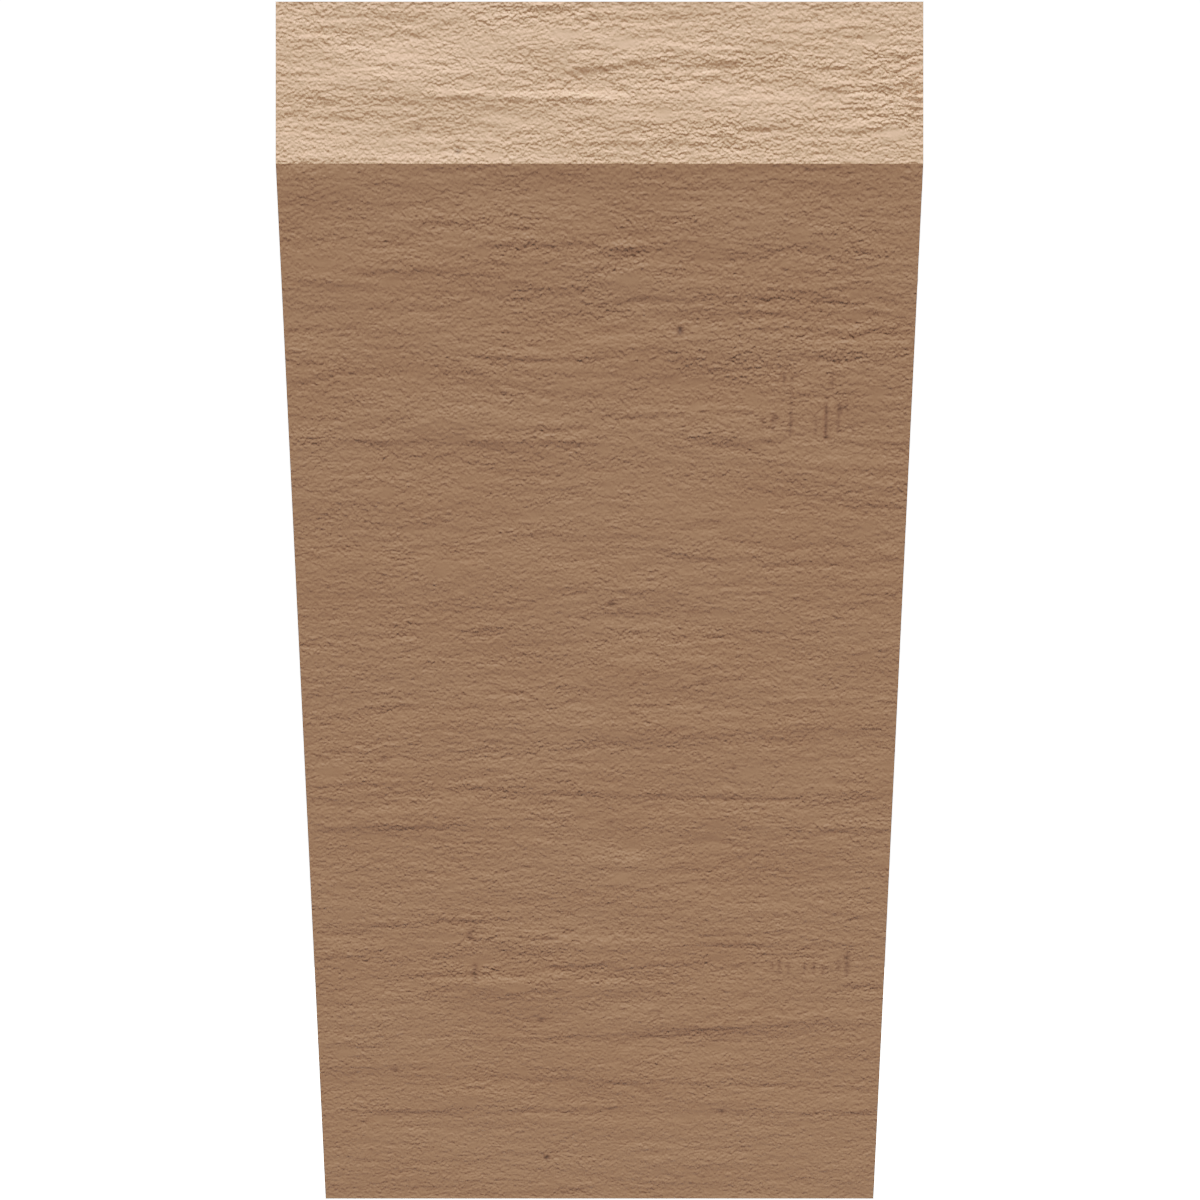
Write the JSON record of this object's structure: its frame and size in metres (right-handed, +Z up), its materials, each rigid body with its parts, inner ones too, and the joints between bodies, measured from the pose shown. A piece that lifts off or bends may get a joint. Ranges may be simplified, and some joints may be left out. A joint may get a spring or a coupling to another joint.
{
  "type": "corbel",
  "caption": "Plain wedge corbel with a flat top, a short upright nose and a straight slope back to its foot, with a rough-sawn timber relief under matt tan primer.",
  "frame": {"origin": "centre of the flat back, on the wall's surface", "axes": "+Z up; +Y into the wall, so the corbel stands out along -Y; X across its width"},
  "size_m": [0.1524, 0.2032, 0.3048],
  "materials": {
    "tan_primer": "matte"
  },
  "bodies": {
    "root": {"corbel": "tan_primer"}
  },
  "joints": []
}
